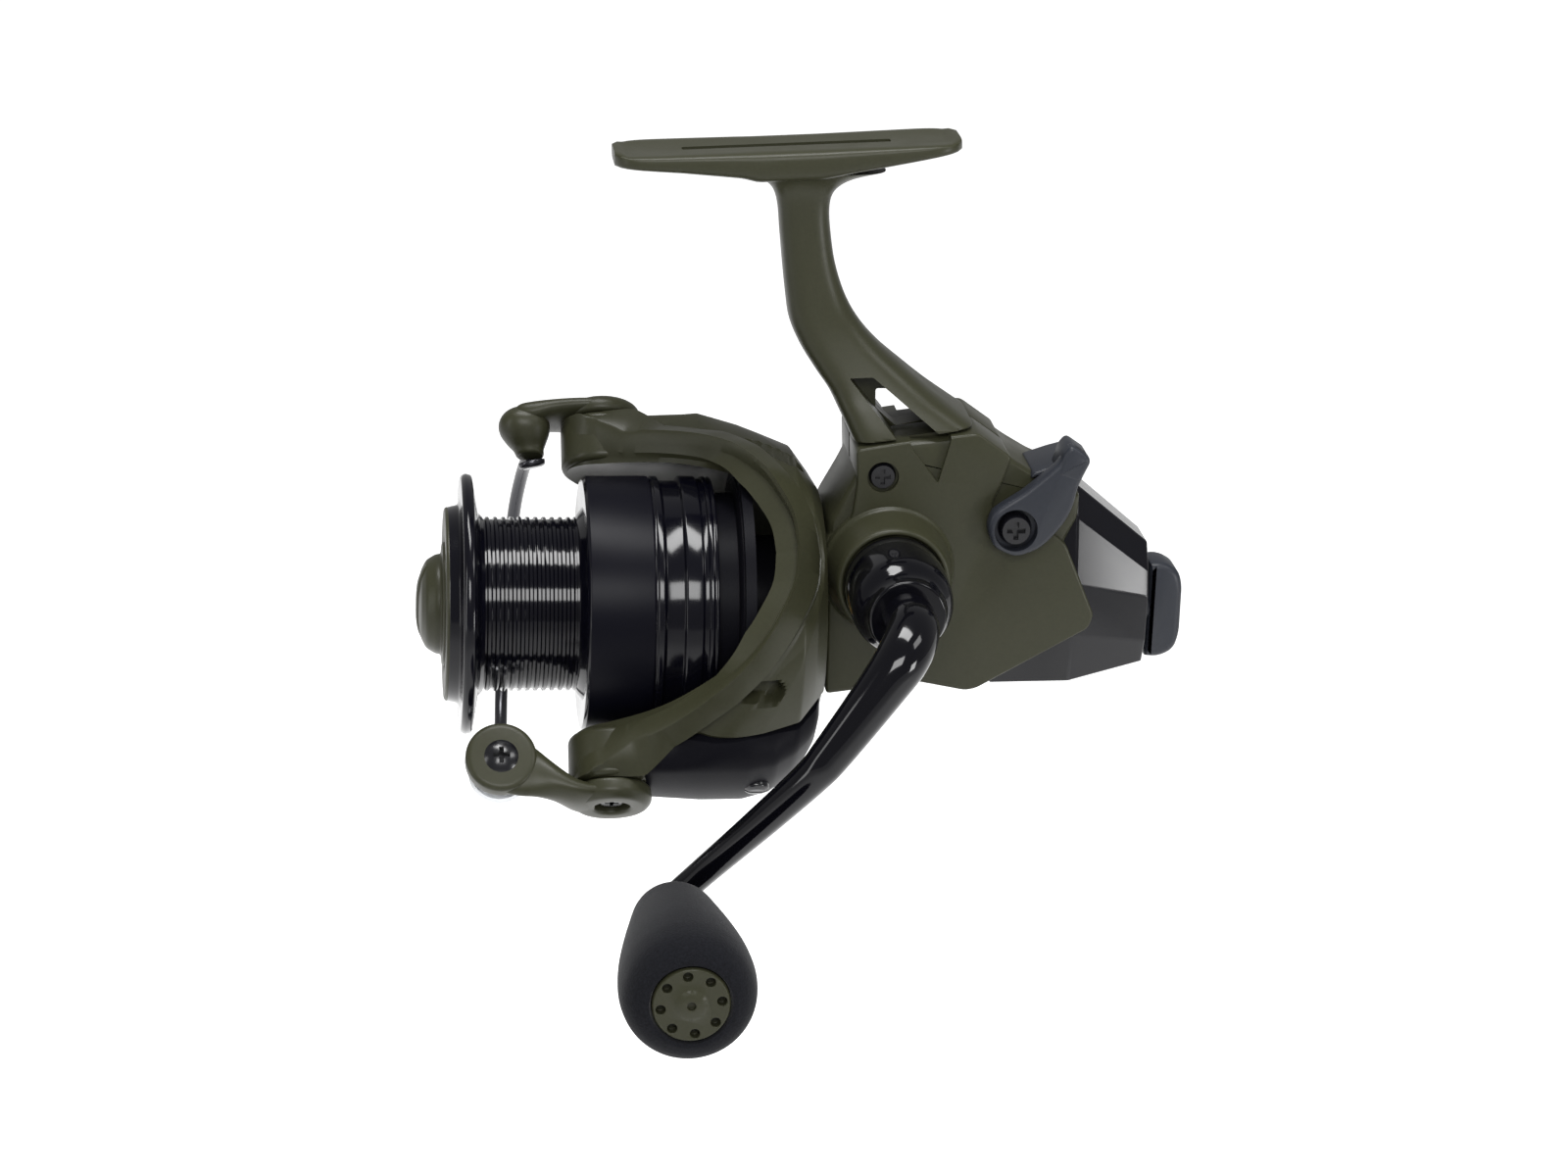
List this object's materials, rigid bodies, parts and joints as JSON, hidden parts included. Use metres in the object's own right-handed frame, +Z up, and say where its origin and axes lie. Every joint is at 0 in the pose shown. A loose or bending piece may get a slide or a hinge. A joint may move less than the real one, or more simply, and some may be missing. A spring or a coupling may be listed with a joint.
{
  "type": "fishing reel",
  "caption": "Free-spool spinning reel: foot and stem on a gear case, rotor with bail, grooved spool, front drag knob, rear free-spool drag with lever, and a cranked handle with soft grip",
  "frame": {"origin": "centre of the foot face that lies on the rod", "axes": "Z up out of the foot face, X along the spool axis with the spool toward -X, crank toward -Y"},
  "size_m": [0.1483, 0.1289, 0.1509],
  "materials": {
    "body_frame": "matte",
    "side_cover": "matte",
    "rear_cover": "gloss",
    "cover_screws": "black oxide",
    "rear_cover_screws": "black oxide",
    "clutch_ring": "ground",
    "clutch_plate": "ground",
    "pinion_bearing_front": "ground",
    "pinion_bearing_rear": "ground",
    "drive_bearings": "ground",
    "guide_rods": "ground",
    "pinion": "machined",
    "clutch_sleeve": "ground",
    "rotor": "matte",
    "rotor_nut": "machined",
    "arm_cover": "satin",
    "arm_cover_screw": "black oxide",
    "bail_pivot_screws": "black oxide",
    "bail_spring": "ground",
    "trip_lever": "ground",
    "roller_lever": "matte",
    "holder_lever": "matte",
    "bail_wire": "dark plated",
    "wire_cone": "polished",
    "roller_screw": "black oxide",
    "line_roller": "polished",
    "roller_bearing": "polished",
    "drive_gear": "machined",
    "crank_bolt": "ground",
    "crank_collar": "gloss",
    "crank_arm": "gloss",
    "crank_cap": "gloss",
    "grip_post": "ground",
    "grip_screw": "ground",
    "grip": "soft foam",
    "grip_cap": "matte",
    "grip_bushes": "machined",
    "oscillation_gear": "machined",
    "main_shaft": "ground",
    "crosswind_block": "cast",
    "block_plate": "ground",
    "spool_seat": "ground",
    "click_wheel": "satin",
    "drag_steels": "ground",
    "spool": "gloss",
    "spool_ring": "matte",
    "spool_bush": "machined",
    "drag_felts": "felt",
    "drag_clip": "ground",
    "click_pawl": "ground",
    "drag_knob": "matte",
    "drag_nut": "machined",
    "drag_spring": "ground",
    "freespool_lever": "satin",
    "lever_spindles": "ground",
    "lever_screws": "black oxide",
    "clutch_drum": "machined",
    "clutch_felts": "felt",
    "rear_knob": "satin"
  },
  "bodies": {
    "housing": {"body_frame": "body_frame", "side_cover": "side_cover", "rear_cover": "rear_cover", "cover_screws": "cover_screws", "rear_cover_screws": "rear_cover_screws", "clutch_ring": "clutch_ring", "clutch_plate": "clutch_plate", "pinion_bearing_front": "pinion_bearing_front", "pinion_bearing_rear": "pinion_bearing_rear", "drive_bearings": "drive_bearings", "guide_rods": "guide_rods", "clutch_felts": "clutch_felts"},
    "rotor_group": {"pinion": "pinion", "clutch_sleeve": "clutch_sleeve", "rotor": "rotor", "rotor_nut": "rotor_nut", "arm_cover": "arm_cover", "arm_cover_screw": "arm_cover_screw", "bail_pivot_screws": "bail_pivot_screws", "bail_spring": "bail_spring"},
    "trip": {"trip_lever": "trip_lever"},
    "bail": {"roller_lever": "roller_lever", "holder_lever": "holder_lever", "bail_wire": "bail_wire", "wire_cone": "wire_cone", "roller_screw": "roller_screw"},
    "roller": {"line_roller": "line_roller", "roller_bearing": "roller_bearing"},
    "drive": {"drive_gear": "drive_gear", "crank_bolt": "crank_bolt", "crank_collar": "crank_collar", "crank_arm": "crank_arm", "crank_cap": "crank_cap", "grip_post": "grip_post", "grip_screw": "grip_screw"},
    "grip_body": {"grip": "grip", "grip_cap": "grip_cap", "grip_bushes": "grip_bushes"},
    "oscillator": {"oscillation_gear": "oscillation_gear"},
    "shaft": {"main_shaft": "main_shaft", "crosswind_block": "crosswind_block", "block_plate": "block_plate", "spool_seat": "spool_seat", "click_wheel": "click_wheel", "drag_steels": "drag_steels"},
    "spool_body": {"spool": "spool", "spool_ring": "spool_ring", "spool_bush": "spool_bush", "drag_felts": "drag_felts", "drag_clip": "drag_clip"},
    "pawl": {"click_pawl": "click_pawl"},
    "front_drag": {"drag_knob": "drag_knob", "drag_nut": "drag_nut", "drag_spring": "drag_spring"},
    "lever": {"freespool_lever": "freespool_lever", "lever_spindles": "lever_spindles", "lever_screws": "lever_screws"},
    "rear_drum": {"clutch_drum": "clutch_drum"},
    "rear_drag": {"rear_knob": "rear_knob"}
  },
  "joints": [
    {"name": "rotor_spin", "type": "hinge", "parent": "housing", "child": "rotor_group", "pos_m": [0, 0, -0.091], "axis": [1, 0, 0], "continuous": true},
    {"name": "crank_turn", "type": "hinge", "parent": "housing", "child": "drive", "pos_m": [0.021, 0, -0.08], "axis": [0, -1, 0], "continuous": true},
    {"name": "oscillation_gear_spin", "type": "hinge", "parent": "housing", "child": "oscillator", "pos_m": [0.039, 0, -0.0905], "axis": [0, -1, 0], "continuous": true},
    {"name": "grip_spin", "type": "hinge", "parent": "drive", "child": "grip_body", "pos_m": [-0.02109, -0.06, -0.13668], "axis": [0, -1, 0], "continuous": true},
    {"name": "bail_swing", "type": "hinge", "parent": "rotor_group", "child": "bail", "pos_m": [-0.0315, 0, -0.091], "axis": [0, 0.6428, 0.766], "range_deg": [0, 110]},
    {"name": "line_roller_spin", "type": "hinge", "parent": "bail", "child": "roller", "pos_m": [-0.0525, -0.02153, -0.11666], "axis": [0, 0.766, -0.6428], "continuous": true},
    {"name": "trip_lever_tilt", "type": "hinge", "parent": "rotor_group", "child": "trip", "pos_m": [-0.0102, -0.01935, -0.11406], "axis": [0, -0.6428, -0.766], "range_deg": [-6, 6]},
    {"name": "spool_stroke", "type": "slide", "parent": "housing", "child": "shaft", "axis": [-1, 0, 0], "range_m": [-0.003, 0.013]},
    {"name": "spool_spin", "type": "hinge", "parent": "shaft", "child": "spool_body", "pos_m": [0, 0, -0.091], "axis": [1, 0, 0], "continuous": true},
    {"name": "click_pawl_tilt", "type": "hinge", "parent": "spool_body", "child": "pawl", "pos_m": [-0.0277, 0, -0.0786], "axis": [1, 0, 0], "range_deg": [-8, 8]},
    {"name": "front_drag_turn", "type": "hinge", "parent": "shaft", "child": "front_drag", "pos_m": [0, 0, -0.091], "axis": [1, 0, 0], "range_deg": [-270, 270]},
    {"name": "freespool_lever_throw", "type": "hinge", "parent": "housing", "child": "lever", "pos_m": [0.0444, 0, -0.0708], "axis": [0, 1, 0], "range_deg": [0, 22]},
    {"name": "clutch_drum_spin", "type": "hinge", "parent": "housing", "child": "rear_drum", "pos_m": [0, 0, -0.091], "axis": [1, 0, 0], "continuous": true},
    {"name": "rear_drag_turn", "type": "hinge", "parent": "housing", "child": "rear_drag", "pos_m": [0, 0, -0.091], "axis": [1, 0, 0], "range_deg": [-135, 135]}
  ],
  "couplings": [
    {"joint": "crank_turn", "follows": "rotor_spin", "ratio": 0.19512},
    {"joint": "oscillation_gear_spin", "follows": "rotor_spin", "ratio": -0.1421}
  ]
}
